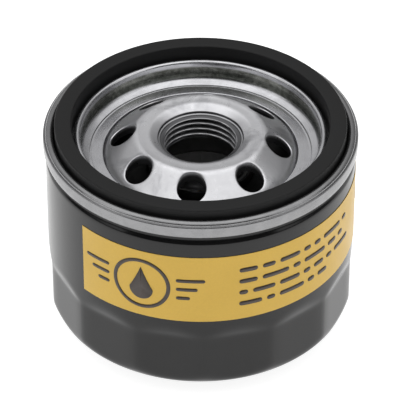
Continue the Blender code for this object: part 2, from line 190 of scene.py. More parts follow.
def sheet_outline(path, thickness):
    """The closed outline of a sheet whose upper side follows a path, its thickness to the path's right."""
    inner = []
    for i, (r, z) in enumerate(path):
        sides = []
        if i > 0:
            sides.append(Vector((r - path[i - 1][0], z - path[i - 1][1])).normalized())
        if i < len(path) - 1:
            sides.append(Vector((path[i + 1][0] - r, path[i + 1][1] - z)).normalized())
        along = sum(sides, Vector((0.0, 0.0))).normalized()
        right = Vector((along.y, -along.x))
        reach = thickness / max(right.dot(Vector((sides[0].y, -sides[0].x))), 0.6)
        inner.append((r + right.x * reach, z + right.y * reach))
    return list(path) + inner[::-1]


def link(obj):
    bpy.context.scene.collection.objects.link(obj)
    return obj


def new_object(name, builder, material, angle=32.0):
    """A smooth-shaded object made from a finished bmesh in millimetres."""
    bmesh.ops.remove_doubles(builder, verts=builder.verts, dist=0.002)
    bmesh.ops.dissolve_degenerate(builder, edges=builder.edges, dist=0.0005)
    bmesh.ops.recalc_face_normals(builder, faces=builder.faces)
    bmesh.ops.transform(builder, matrix=Matrix.Scale(MM, 4), verts=builder.verts)
    mesh = bpy.data.meshes.new(name)
    builder.to_mesh(mesh)
    builder.free()
    mesh.materials.append(material)
    mesh.shade_smooth()
    mesh.set_sharp_from_angle(angle=math.radians(angle))
    return link(bpy.data.objects.new(name, mesh))


def add_rings(builder, rings, closed=True):
    """Faces between rings of points. A ring of one point is a pole."""
    made = [[builder.verts.new(p) for p in ring] for ring in rings]
    for low, high in zip(made, made[1:]):
        count = max(len(low), len(high))
        for i in range(count if closed else count - 1):
            corners = []
            for ring, index in ((low, i), (low, i + 1), (high, i + 1), (high, i)):
                vertex = ring[index % len(ring)]
                if vertex not in corners:
                    corners.append(vertex)
            if len(corners) > 2:
                builder.faces.new(corners)
    return made


def ring_points(r, z, sides, turn=0.0, span=360.0):
    if r < 1e-6:
        return [(0.0, 0.0, z)]
    count = sides if span == 360.0 else sides + 1
    return [(*polar(r, turn + span * i / sides), z) for i in range(count)]


def turned(name, profile, material, sides=160, turn=0.0, angle=32.0):
    """A solid of revolution. A profile that starts and ends on the axis stays open there."""
    builder = bmesh.new()
    closed_profile = list(profile)
    if profile[0][0] > 1e-6 or profile[-1][0] > 1e-6:
        closed_profile.append(profile[0])
    add_rings(builder, [ring_points(r, z, sides, turn) for r, z in closed_profile])
    return new_object(name, builder, material, angle)


def coil(name, radius, low, high, turns, wire, material):
    """A round wire whose first and last turns lie flat, as one closed tube."""
    builder = bmesh.new()
    per_turn = 48
    around = 12
    count = int(turns * per_turn)
    rings = []
    for i in range(count + 1):
        share = i / count
        turned_by = 360 * turns * share
        flat = 0.75 / turns
        climb = min(max((share - flat) / (1 - 2 * flat), 0.0), 1.0)
        rise = low + (high - low) * (0.12 * share + 0.88 * climb)
        centre = Vector((*polar(radius, turned_by), rise))
        outward = Vector((*polar(1, turned_by), 0.0))
        ring = []
        for k in range(around):
            angle = TAU * k / around
            upward = Vector((0, 0, wire / 2 * math.sin(angle)))
            ring.append(centre + outward * wire / 2 * math.cos(angle) + upward)
        rings.append(ring)
    made = add_rings(builder, rings)
    builder.faces.new(made[0])
    builder.faces.new(made[-1])
    return new_object(name, builder, material, 50)


# Materials ---------------------------------------------------------------------


class Nodes:
    """A few shorthands for building one material's node tree."""

    def __init__(self, name):
        self.material = bpy.data.materials.new(name)
        self.material.use_nodes = True
        self.tree = self.material.node_tree
        self.shader = self.tree.nodes["Principled BSDF"]

    def new(self, kind, **values):
        node = self.tree.nodes.new(kind)
        for key, value in values.items():
            setattr(node, key, value)
        return node

    def join(self, source, target):
        self.tree.links.new(source, target)

    def put(self, node, name, value):
        if isinstance(value, bpy.types.NodeSocket):
            self.join(value, node.inputs[name])
        else:
            node.inputs[name].default_value = value

    def maths(self, operation, a, b=None):
        node = self.new("ShaderNodeMath", operation=operation)
        for index, value in enumerate((a, b)):
            if value is not None:
                self.put(node, index, value)
        return node.outputs[0]

    def place(self):
        """Object coordinates, in metres in the object's own frame."""
        return self.new("ShaderNodeTexCoord").outputs["Object"]

    def length(self, x, y):
        """The length of a flat vector."""
        squares = self.maths("ADD", self.maths("MULTIPLY", x, x), self.maths("MULTIPLY", y, y))
        return self.maths("SQRT", squares)

    def axes(self):
        """Distance from the filter's axis and height, in millimetres."""
        split = self.new("ShaderNodeSeparateXYZ")
        self.join(self.place(), split.inputs[0])
        x, y, z = split.outputs
        radius = self.length(x, y)
        return self.maths("DIVIDE", radius, MM), self.maths("DIVIDE", z, MM)

    def round_place(self, across, round_scale):
        """Coordinates that run round the axis slowly and across it fast, without a seam."""
        split = self.new("ShaderNodeSeparateXYZ")
        self.join(self.place(), split.inputs[0])
        x, y, z = split.outputs
        radius = self.length(x, y)
        safe = self.maths("MAXIMUM", radius, 0.0001)
        joined = self.new("ShaderNodeCombineXYZ")
        self.join(self.maths("MULTIPLY", self.maths("DIVIDE", x, safe), round_scale), joined.inputs[0])
        self.join(self.maths("MULTIPLY", self.maths("DIVIDE", y, safe), round_scale), joined.inputs[1])
        self.join(self.maths("MULTIPLY", self.maths("SUBTRACT", radius, z), across), joined.inputs[2])
        return joined.outputs[0]

    def noise(self, vector, scale, detail=4.0, roughness=0.55, distortion=0.0):
        node = self.new("ShaderNodeTexNoise")
        self.join(vector, node.inputs["Vector"])
        amounts = {"Scale": scale, "Detail": detail, "Roughness": roughness, "Distortion": distortion}
        for name, amount in amounts.items():
            node.inputs[name].default_value = amount
        return node.outputs["Fac"]

    def spread(self, value, low, high, from_low=0.3, from_high=0.7, smooth=False):
        """Maps a texture's middle range to a low and a high value."""
        node = self.new("ShaderNodeMapRange")
        if smooth:
            node.interpolation_type = "SMOOTHSTEP"
        self.join(value, node.inputs["Value"])
        amounts = {"From Min": from_low, "From Max": from_high, "To Min": low, "To Max": high}
        for name, amount in amounts.items():
            node.inputs[name].default_value = amount
        return node.outputs["Result"]

    def mix(self, share, first, second):
        node = self.new("ShaderNodeMix", data_type="RGBA")
        self.put(node, "Factor", share)
        for index, colour in ((6, first), (7, second)):
            if isinstance(colour, bpy.types.NodeSocket):
                self.join(colour, node.inputs[index])
            else:
                node.inputs[index].default_value = (*colour, 1.0)
        return node.outputs[2]

    def bump(self, height, strength, distance, below=None):
        node = self.new("ShaderNodeBump")
        node.inputs["Strength"].default_value = strength
        node.inputs["Distance"].default_value = distance
        self.join(height, node.inputs["Height"])
        if below is not None:
            self.join(below, node.inputs["Normal"])
        return node.outputs["Normal"]

    def finish(self, **sockets):
        for name, value in sockets.items():
            self.put(self.shader, name.replace("_", " "), value)
        return self.material


def black_paint():
    """Stoved enamel: a faint orange peel, and a little dust in its gloss."""
    n = Nodes("black_paint")
    peel = n.noise(n.place(), 900, 2.0)
    haze = n.noise(n.place(), 120, 5.0)
    grit = n.noise(n.place(), 5200, 2.0)
    colour = n.mix(n.spread(haze, 0, 1), (0.006, 0.006, 0.0062), (0.009, 0.009, 0.0092))
    rough = n.maths("ADD", n.spread(haze, 0.13, 0.19), n.spread(grit, -0.02, 0.02))
    normal = n.bump(peel, 0.10, 0.00004)
    return n.finish(Base_Color=colour, Roughness=rough, Normal=normal, IOR=1.43)


def lid_steel():
    """Thin tinned sheet: drawn round the axis, dull on the seam, with painted shade on the inner wall,
    mottled and darker towards its foot.
    """
    n = Nodes("lid_steel")
    radius, height = n.axes()
    grain = n.noise(n.round_place(9000, 6), 1.0, 3.0, 0.6)
    cloud = n.noise(n.place(), 190, 6.0, 0.65, 0.6)
    spots = n.noise(n.place(), 700, 4.0, 0.65)
    tint = n.mix(n.spread(cloud, 0, 1, 0.42, 0.62), (0.62, 0.62, 0.64), (0.54, 0.54, 0.56))
    on_seam = n.spread(radius, 0, 1, GROOVE_OUT_R - 2.6, GROOVE_OUT_R - 1.1, True)
    tint = n.mix(on_seam, tint, n.mix(n.spread(cloud, 0, 1), (0.31, 0.31, 0.315), (0.25, 0.25, 0.255)))
    # Painted shade: the inner wall between the foot and the lip is coloured dark, mottled by spots, and
    # darker low down.
    above_foot = n.spread(height, 0, 1, 48.75, 49.5, True)
    below_lip = n.spread(height, 1, 0, LIP_CREST_Z - 1.85, LIP_CREST_Z - 1.25, True)
    wall = n.maths("MULTIPLY", above_foot, below_lip)
    wall = n.maths("MULTIPLY", wall, n.spread(radius, 1, 0, LIP_IN_R + 0.6, LIP_IN_R + 0.9))
    upper_wall_painted_shade = n.mix(n.spread(spots, 0, 1, 0.40, 0.62), (0.28, 0.285, 0.26), (0.13, 0.135, 0.115))
    lower_wall_painted_shade = n.mix(n.spread(spots, 0, 1, 0.40, 0.62), (0.13, 0.135, 0.12), (0.06, 0.065, 0.055))
    wall_painted_shade = n.mix(n.spread(height, 0, 1, 50.6, 51.5, True), lower_wall_painted_shade, upper_wall_painted_shade)
    tint = n.mix(wall, tint, wall_painted_shade)
    colour = n.mix(n.spread(spots, 0, 0.3, 0.64, 0.80), tint, (0.34, 0.34, 0.32))
    rough = n.maths("ADD", n.spread(cloud, 0.20, 0.29), n.spread(grain, -0.05, 0.06))
    rough = n.maths("MULTIPLY", rough, n.spread(height, 0.9, 1.0, 48.6, 49.0))
    normal = n.bump(grain, 0.14, 0.00002, n.bump(cloud, 0.14, 0.00008))
    return n.finish(Base_Color=colour, Metallic=0.94, Roughness=rough, Normal=normal)


def plate_steel():
    """Pressed zinc-plated steel, satin, with fine blotches and a few dull patches; painted shade darkens the
    inlet holes' walls and the thread's grooves.
    """
    n = Nodes("plate_steel")
    radius, height = n.axes()
    cloud = n.noise(n.place(), 260, 6.0, 0.65, 0.4)
    patch = n.noise(n.place(), 105, 5.0, 0.6, 0.8)
    grit = n.noise(n.place(), 2600, 3.0)
    colour = n.mix(n.spread(cloud, 0, 1), (0.72, 0.72, 0.74), (0.62, 0.62, 0.64))
    colour = n.mix(n.spread(patch, 0, 0.8, 0.55, 0.70), colour, (0.40, 0.40, 0.42))
    # Painted shade: the inlet holes' walls, below the cone's surface, are coloured near black.
    cone = n.maths("SUBTRACT", CONE_APEX_Z, n.maths("MULTIPLY", radius, CONE_SLOPE))
    depth = n.spread(n.maths("SUBTRACT", cone, height), 0, 1, 0.35, 1.5, True)
    hole_wall_painted_shade = n.maths("MULTIPLY", depth, n.spread(radius, 0, 1, 14.8, 15.2))
    colour = n.mix(hole_wall_painted_shade, colour, (0.14, 0.14, 0.145))
    # Painted shade in the thread's grooves below the mouth, lighter on the crests and on the ledge.
    off_crest = n.spread(radius, 0.35, 1, THREAD_MINOR_R + 0.06, THREAD_MINOR_R + 0.25)
    thread_painted_shade = n.maths("MULTIPLY", n.spread(height, 1, 0, MOUTH_Z - 0.06, MOUTH_Z + 0.02), off_crest)
    in_mouth = n.spread(radius, 1, 0, MOUTH_R + 0.02, MOUTH_R + 0.08)
    thread_painted_shade = n.maths("MULTIPLY", thread_painted_shade, in_mouth)
    off_ledge = n.maths("ABSOLUTE", n.maths("SUBTRACT", height, LEDGE_Z))
    thread_painted_shade = n.maths("MULTIPLY", thread_painted_shade, n.spread(off_ledge, 0.45, 1, 0.05, 0.10))
    colour = n.mix(thread_painted_shade, colour, (0.12, 0.12, 0.125))
    rough = n.maths("ADD", n.spread(cloud, 0.27, 0.35), n.spread(grit, -0.03, 0.03))
    normal = n.bump(grit, 0.07, 0.00002, n.bump(cloud, 0.14, 0.00006))
    return n.finish(Base_Color=colour, Metallic=0.88, Roughness=rough, Normal=normal)


def hidden_steel(name, colour, rough):
    n = Nodes(name)
    cloud = n.noise(n.place(), 260, 5.0)
    grain = n.noise(n.round_place(7000, 4), 1.0, 2.0)
    tint = n.mix(n.spread(cloud, 0, 1), colour, tuple(c * 0.8 for c in colour))
    normal = n.bump(grain, 0.08, 0.00002)
    satin = n.spread(cloud, rough, rough + 0.1)
    return n.finish(Base_Color=tint, Metallic=1.0, Roughness=satin, Normal=normal)


def rubber(name, shade, rough):
    """Moulded rubber: fine matte skin with faint bloom."""
    n = Nodes(name)
    bloom = n.noise(n.place(), 170, 5.0)
    skin = n.noise(n.place(), 2600, 4.0, 0.7)
    colour = n.mix(n.spread(bloom, 0, 1), (shade, shade, shade), (shade * 1.5, shade * 1.5, shade * 1.55))
    normal = n.bump(skin, 0.25, 0.00003)
    skin_rough = n.spread(bloom, rough, rough + 0.1)
    return n.finish(Base_Color=colour, Roughness=skin_rough, Normal=normal, Specular_IOR_Level=0.3)


def label_yellow():
    """Ochre ink on a thin film, with a slight press grain."""
    n = Nodes("label_yellow")
    grain = n.noise(n.place(), 2400, 3.0)
    cloud = n.noise(n.place(), 90, 4.0)
    colour = n.mix(n.spread(cloud, 0, 1), (0.74, 0.47, 0.055), (0.70, 0.44, 0.048))
    colour = n.mix(n.spread(grain, 0, 0.25), colour, (0.58, 0.35, 0.04))
    normal = n.bump(grain, 0.08, 0.00002)
    return n.finish(Base_Color=colour, Roughness=n.spread(cloud, 0.30, 0.38), Normal=normal)


def label_ink():
    n = Nodes("label_ink")
    grain = n.noise(n.place(), 3000, 3.0)
    colour = n.mix(n.spread(grain, 0, 1), (0.030, 0.020, 0.016), (0.055, 0.038, 0.026))
    return n.finish(Base_Color=colour, Roughness=n.spread(grain, 0.32, 0.42))


def paper():
    n = Nodes("filter_paper")
    fibre = n.noise(n.place(), 2200, 6.0, 0.7, 1.5)
    cloud = n.noise(n.place(), 160, 4.0)
    colour = n.mix(n.spread(cloud, 0, 1), (0.70, 0.52, 0.27), (0.60, 0.43, 0.21))
    normal = n.bump(fibre, 0.5, 0.00006)
    return n.finish(Base_Color=colour, Roughness=n.spread(fibre, 0.8, 0.95), Normal=normal)


def compound(name, colour):
    n = Nodes(name)
    cloud = n.noise(n.place(), 400, 4.0)
    tint = n.mix(n.spread(cloud, 0, 1), colour, tuple(c * 0.75 for c in colour))
    normal = n.bump(cloud, 0.3, 0.0001)
    return n.finish(Base_Color=tint, Roughness=n.spread(cloud, 0.5, 0.7), Normal=normal)


# The can -------------------------------------------------------------------------

CAN_PAD_R = 14.0
CAN_CORNER = 5.5
CAN_CORNER_Z = 9.1
NECK_R = 36.9
RIDGE_ROUNDING = 0.55


def flute_radius(degrees, z):
    """How far out the wrench flats let the wall come at an angle and a height."""
    step = 360.0 / FLUTES
    from_ridge = ((degrees - FLUTE_TURN) / step) % 1.0
    off_middle = math.radians((from_ridge - 0.5) * step)
    above = z - FLUTE_TOP_Z
    eased = (above + math.sqrt(above * above + 0.15)) / 2
    return (FLUTE_APOTHEM + FLUTE_CHAMFER_SLOPE * eased) / math.cos(off_middle)


def can_profile():
    """The can's outer line, from the middle of the pad to the flange inside the seam."""
    dome = curve_through([(CAN_PAD_R, 0.0), (20.0, 0.5), (26.5, 1.7), (33.2, 3.7)], 8)
    line = [(0.0, 0.0), (6.0, 0.0), (CAN_PAD_R - 0.6, 0.0)] + dome[:-1]
    line += arc((CAN_R - CAN_CORNER, CAN_CORNER_Z), CAN_CORNER, -78, 0, 14)
    for i in range(1, 27):
        line.append((CAN_R, CAN_CORNER_Z + (27.0 - CAN_CORNER_Z) * i / 26))
    line += [(CAN_R, 34.0), (CAN_R, 41.0), (CAN_R, 47.6)]
    line += [(CAN_R, 48.35), (CAN_R - 0.03, 48.55), (CAN_R - 0.2, 48.88), (CAN_R - 0.45, 49.28)]
    line += [(NECK_R + 0.03, 49.7), (NECK_R, 50.0), (NECK_R, 52.8)]
    line += [(NECK_R + 0.25, 53.1), (NECK_R + 0.4, RIM_Z)]
    return line


def make_can(material):
    sides = FLUTES * 18
    builder = bmesh.new()
    rings = []
    for r, z in can_profile():
        if r < 1e-6:
            rings.append([(0.0, 0.0, z)])
            continue
        ring = []
        for i in range(sides):
            degrees = FLUTE_TURN + 360.0 * i / sides
            reach = smooth_min(r, flute_radius(degrees, z), RIDGE_ROUNDING)
            ring.append((*polar(reach, degrees), z))
        rings.append(ring)
    add_rings(builder, rings)
    can = new_object("can_shell", builder, material, 40)
    wall = can.modifiers.new("Wall", "SOLIDIFY")
    wall.thickness = SHEET * MM
    wall.offset = -1
    return can


# The lid and its double seam -------------------------------------------------------


def lid_path():
    """The lid's upper line, from its cut inner edge over the lip and the groove to the skirt's hook."""
    ring_z = LID_LOW_Z + SHEET
    edge = 0.14
    lip_round = (LIP_OUT_R - LIP_IN_R) / 2
    path = arc((LID_EDGE_R + edge, ring_z - edge), edge, 180, 90, 3)
    path += [(24.0, ring_z), (24.2, ring_z), (26.3, ring_z), (26.5, ring_z), (26.62, ring_z + 0.05)]
    path += [(26.84, ring_z + 0.05), (26.98, ring_z)]
    foot = [(27.12, ring_z), (27.4, ring_z + 0.1), (27.9, ring_z + 0.3), (28.4, ring_z + 0.55)]
    foot += [(28.75, ring_z + 0.85), (28.98, ring_z + 1.35), (LIP_IN_R, ring_z + 2.1)]
    path += curve_through(foot, 4) + [(LIP_IN_R + 0.02, 51.4)]
    path += arc((LIP_IN_R + lip_round, LIP_CREST_Z - lip_round), lip_round, 176, 0, 11)
    path += [(LIP_OUT_R, GROOVE_Z + 0.4)]
    path += arc((LIP_OUT_R + 0.4, GROOVE_Z + 0.4), 0.4, 200, 270, 4)
    path += arc((GROOVE_OUT_R - 0.4, GROOVE_Z + 0.4), 0.4, -90, 0, 5)
    path += arc((GROOVE_OUT_R + 0.95, CROWN_Z - 0.95), 0.95, 180, 84, 8)
    path += curve_through([(36.95, 54.84), (37.25, 54.70), (37.48, 54.48), (37.58, 54.22)], 3)
    path += [(37.62, 54.02), (37.70, 53.96), (37.84, 54.01), (38.00, 53.98), (SEAM_R - 0.01, 53.84)]
    path += [(SEAM_R, 53.6), (SEAM_R, 52.3), (SEAM_R - 0.02, 51.4)]
    path += arc((SEAM_R - 0.35, SKIRT_Z + 0.3), 0.3, 0, -90, 4)
    path += [(SEAM_R - SHEET - 0.4, SKIRT_Z)]
    return path


def make_lid(material):
    return turned("lid_and_seam", sheet_outline(lid_path(), SHEET * 0.9), material, 224, angle=40)


# The base plate ---------------------------------------------------------------------

DOME_IN_R = 13.6
DOME_OUT_R = 23.7
ARC_STEPS = 16
EDGE_ROLL = 0.45


def plate_top():
    """The hump round the sunken thread, and the straight cone that falls from it to the flange."""
    flange = LID_LOW_Z - 0.3
    hump = [(12.7, 53.42), (13.5, 53.43), (14.3, 53.46), (15.0, 53.53)]
    hump += [(15.4, HUB_TOP_Z), (15.8, 53.49), (16.2, 53.3)]
    cone = [(16.6, 53.02), (18.0, 52.01), (20.0, 50.57), (21.6, 49.42)]
    cone += [(22.3, 48.9), (23.0, 48.2), (DOME_OUT_R, flange)]
    return height_on([*hump, *cone, (25.0, flange)])


def plate_under():
    low = LID_LOW_Z - 0.3 - 2.5
    inner = [(12.8, 51.1), (13.8, 51.35), (15.8, 51.1), (18.5, 49.17), (21.4, 47.1)]
    return height_on([*inner, (22.9, low), (DOME_OUT_R, low), (25.0, low)])


def sector_edge():
    """Points round one inlet's share of the dome, as (radius, angle from its middle)."""
    half = 180.0 / INLETS
    steps = ARC_STEPS
    points = []
    for i in range(steps):
        points.append((DOME_OUT_R, -half + 2 * half * i / steps))
    for i in range(steps):
        points.append((DOME_OUT_R + (DOME_IN_R - DOME_OUT_R) * i / steps, half))
    for i in range(steps):
        points.append((DOME_IN_R, half - 2 * half * i / steps))
    for i in range(steps):
        points.append((DOME_IN_R + (DOME_OUT_R - DOME_IN_R) * i / steps, -half))
    return points


def inlet_sheet(builder, middle, height, rolled):
    """The dome round one inlet at an angle, from the inlet's edge out. Returns the ring at that edge."""
    outward = Vector(polar(1, middle))
    across = Vector((-outward.y, outward.x))
    half = 180.0 / INLETS
    offsets = [0.0, 0.05, 0.15, 0.3, EDGE_ROLL, 0.9]
    shares = [0.25, 0.5, 0.75, 1.0]
    rings = [[] for _ in range(len(offsets) + len(shares))]
    for radius, angle in sector_edge():
        u = (radius - INLET_R) / (DOME_OUT_R - INLET_R if radius > INLET_R else INLET_R - DOME_IN_R)
        turn = math.atan2(angle / half, u)
        along = outward * (INLET_R + INLET_LONG / 2 * math.cos(turn))
        edge = along + across * (INLET_WIDE / 2 * math.sin(turn))
        away = (outward * math.cos(turn) / INLET_LONG + across * math.sin(turn) / INLET_WIDE).normalized()
        outer = Vector(polar(radius, middle + angle))
        near = edge + away * min(offsets[-1], (outer - edge).length * 0.6)
        for ring, offset in zip(rings, offsets):
            share = offset / offsets[-1]
            spot = edge.lerp(near, share)
            depth = EDGE_ROLL - math.sqrt(max(EDGE_ROLL**2 - max(EDGE_ROLL - offset, 0.0) ** 2, 0.0))
            ring.append((spot.x, spot.y, height(spot.length) - depth * rolled))
        for ring, share in zip(rings[len(offsets) :], shares):
            spot = near.lerp(outer, share)
            ring.append((spot.x, spot.y, height(spot.length)))
    add_rings(builder, rings)
    return rings[0]


def thread_radius(phase):
    """A 60 degree internal thread: crest flat, flank, root flat, flank."""
    if phase < 0.25:
        return THREAD_MINOR_R
    if phase < 0.5625:
        return THREAD_MINOR_R + THREAD_DEPTH * (phase - 0.25) / 0.3125
    if phase < 0.6875:
        return THREAD_MINOR_R + THREAD_DEPTH
    return THREAD_MINOR_R + THREAD_DEPTH * (1 - phase) / 0.3125


def thread_rings(low, high, end_r, sides):
    """Level rings whose radius follows the thread's helix, running out to a radius at both ends."""
    rings = []
    count = math.ceil((high - low) / THREAD_PITCH * 18)
    for k in range(count + 1):
        z = low + (high - low) * k / count
        fade = min((z - low) / 0.3, (high - z) / 0.12, 1.0)
        ring = []
        for i in range(sides):
            phase = ((z - HELIX_Z) / THREAD_PITCH - i / sides) % 1.0
            r = end_r + (thread_radius(phase) - end_r) * fade
            ring.append((*polar(r, INLET_TURN - 180.0 / INLETS + 360.0 * i / sides), z))
        rings.append(ring)
    return rings


def make_base_plate(material):
    sides = ARC_STEPS * INLETS
    first = INLET_TURN - 180.0 / INLETS
    top = plate_top()
    under = plate_under()
    builder = bmesh.new()
    for i in range(INLETS):
        middle = INLET_TURN + 360.0 * i / INLETS
        upper = inlet_sheet(builder, middle, top, 1.0)
        lower = inlet_sheet(builder, middle, under, 0.5)
        wall = []
        for share in (0.0, 0.12, 0.88, 1.0):
            wall.append([Vector(a).lerp(Vector(b), share) for a, b in zip(upper, lower)])
        add_rings(builder, wall)
    thread_z = MOUTH_Z - 0.85
    thread_r = MOUTH_R - 0.65
    hub = [(DOME_IN_R, top(DOME_IN_R)), (13.0, 53.425), (12.6, 53.42), (12.3, 53.37), (12.0, 53.25)]
    hub += [(11.5, 52.97), (11.0, 52.67), (10.62, 52.42)]
    hub += [(MOUTH_R + 0.1, MOUTH_Z + 0.04), (MOUTH_R, MOUTH_Z - 0.05), (10.32, 52.1)]
    hub += [(10.2, LEDGE_Z + 0.04), (9.95, LEDGE_Z - 0.03), (9.86, LEDGE_Z - 0.1), (thread_r, thread_z)]
    add_rings(builder, [ring_points(r, z, sides, first) for r, z in hub])
    collar_z = PLATE_LOW_Z + 0.6
    add_rings(builder, thread_rings(collar_z, thread_z, thread_r, sides))
    collar = [(thread_r, collar_z), (10.0, PLATE_LOW_Z), (COLLAR_R - 0.3, PLATE_LOW_Z)]
    collar += [(COLLAR_R, PLATE_LOW_Z + 0.3), (COLLAR_R, 49.4), (COLLAR_R + 0.25, 50.3)]
    collar += [(12.4, 50.9), (DOME_IN_R, under(DOME_IN_R))]
    add_rings(builder, [ring_points(r, z, sides, first) for r, z in collar])
    flange = [(DOME_OUT_R, top(DOME_OUT_R)), (PLATE_R - 0.3, top(24.5)), (PLATE_R, top(24.5) - 0.3)]
    flange += [(PLATE_R, under(24.5) + 0.3), (PLATE_R - 0.3, under(24.5)), (DOME_OUT_R, under(DOME_OUT_R))]
    add_rings(builder, [ring_points(r, z, sides, first) for r, z in flange])
    return new_object("threaded_plate", builder, material, 38)


# Rubber ------------------------------------------------------------------------------


def make_gasket(material):
    top = HEIGHT
    low = GASKET_LOW_Z
    profile = arc((GASKET_IN_R + 0.35, top - 0.35), 0.35, 180, 90, 4)
    profile += arc((GASKET_OUT_R - 0.4, top - 0.4), 0.4, 90, 0, 6)
    profile += arc((GASKET_OUT_R - 0.3, low + 0.3), 0.3, 0, -90, 3)
    profile += arc((GASKET_IN_R + 0.3, low + 0.3), 0.3, -90, -180, 3)
    return turned("gasket_ring", profile, material, 192)


def make_drain_valve(material):
    """The valve's collar stays on the cap's neck."""
    high = box_mm("anti_drain_valve")[1].z
    low = box_mm("anti_drain_valve")[0].z
    inner = TUBE_R + 0.2
    profile = [(inner, low + 2.1), (inner + 0.3, low + 2.4), (15.0, low + 2.4)]
    upper = [(16.5, low + 2.1), (19.5, low + 2.35), (22.6, low + 2.9), (25.2, high - 0.4)]
    profile += curve_through(upper, 5)
    profile += [(25.7, high), (26.6, high), (27.1, high - 0.3), (27.1, high - 0.8)]
    lower = [(26.2, high - 1.4), (22.8, low + 1.6), (19.5, low + 1.05), (16.4, low + 0.7)]
    profile += curve_through(lower, 5)
    profile += [(15.4, low), (inner + 0.3, low), (inner, low + 0.3)]
    return turned("drain_valve_disc", profile, material, 144)


# Print on the label --------------------------------------------------------------------

LABEL_R = CAN_R + 0.12
INK_R = LABEL_R + 0.05


def on_label(degrees, z, radius=INK_R):
    return (*polar(radius, degrees), z)


def make_label(material):
    builder = bmesh.new()
    inner = CAN_R + 0.04
    outline = [(LABEL_R, LABEL_HIGH_Z), (LABEL_R, LABEL_LOW_Z), (inner, LABEL_LOW_Z), (inner, LABEL_HIGH_Z)]
    rings = [ring_points(r, z, 180, LABEL_START, LABEL_SPAN) for r, z in [*outline, outline[0]]]
    made = add_rings(builder, rings, closed=False)
    builder.faces.new([ring[0] for ring in made[:4]])
    builder.faces.new([ring[-1] for ring in made[:4]])
    return new_object("label_band", builder, material, 40)


def add_strip(builder, columns):
    """A flat patch of ink given as (degrees, low z, high z) columns."""
    low_edge = [on_label(degrees, low) for degrees, low, high in columns]
    high_edge = [on_label(degrees, high) for degrees, low, high in columns]
    add_rings(builder, [low_edge, high_edge], False)


def add_bar(builder, start, length, z, tall):
    """A round-ended bar that starts at an angle, with its length in millimetres along the label."""
    columns = []
    radius = tall / 2
    steps = max(int(length / 0.4), 6)
    for i in range(steps + 1):
        along = length * (1 - math.cos(math.pi * i / steps)) / 2
        from_end = min(along, length - along)
        half = radius
        if from_end < radius:
            half = math.sqrt(max(radius**2 - (radius - from_end) ** 2, 0.0004))
        columns.append((start + math.degrees(along / INK_R), z - half, z + half))
    add_strip(builder, columns)


def add_ring(builder, middle, z, outer, inner):
    """A ring of ink, with radii in millimetres."""
    rings = []
    for radius in (outer, inner):
        ring = []
        for i in range(96):
            angle = TAU * i / 96
            across = math.degrees(radius * math.cos(angle) / INK_R)
            ring.append(on_label(middle + across, z + radius * math.sin(angle)))
        rings.append(ring)
    add_rings(builder, rings)


def add_drop(builder, middle, low, tall):
    """An oil drop standing on its round end."""
    radius = tall * 0.31
    columns = []
    for i in range(41):
        across = radius * -math.cos(math.pi * i / 40)
        dip = math.sqrt(max(radius**2 - across**2, 0.0004))
        share = 1 - abs(across) / radius
        rise = (tall - radius) * share**1.35 + dip * 0.35 * (1 - share)
        columns.append((middle + math.degrees(across / INK_R), low + radius - dip, low + radius + rise))
    add_strip(builder, columns)


def make_print(material):
    """A plain drop badge with rules beside it, and rows of bars in place of wording."""
    builder = bmesh.new()
    middle_z = (LABEL_LOW_Z + LABEL_HIGH_Z) / 2
    for badge in (-22.0, 108.0):
        add_ring(builder, badge, middle_z, 7.3, 6.35)
        add_drop(builder, badge, middle_z - 4.6, 9.6)
        for step, length in ((0, 7.0), (1, 5.2), (2, 3.4)):
            z = middle_z + 2.6 - 2.6 * step
            gap = math.degrees(8.6 / INK_R)
            add_bar(builder, badge + gap, length, z, 0.95)
            add_bar(builder, badge - gap - math.degrees(length / INK_R), length, z, 0.95)
    words = random.Random(7)
    for first in (14.0, 140.0):
        for row in range(4):
            start = first
            z = LABEL_HIGH_Z - 4.6 - 3.35 * row
            end = first + (52.0, 47.0, 50.0, 38.0)[row]
            while start < end:
                room = math.radians(LABEL_START + LABEL_SPAN - 3.0 - start) * INK_R
                length = min(words.choice((2.2, 3.4, 4.6, 5.8, 7.2)), room)
                add_bar(builder, start, length, z, 1.25)
                start += math.degrees((length + 1.25) / INK_R)
    ink = new_object("label_print", builder, material, 40)
    layer = ink.modifiers.new("Ink", "SOLIDIFY")
    layer.thickness = 0.03 * MM
    layer.offset = 0
    return ink


# The cartridge and its valves ------------------------------------------------------------


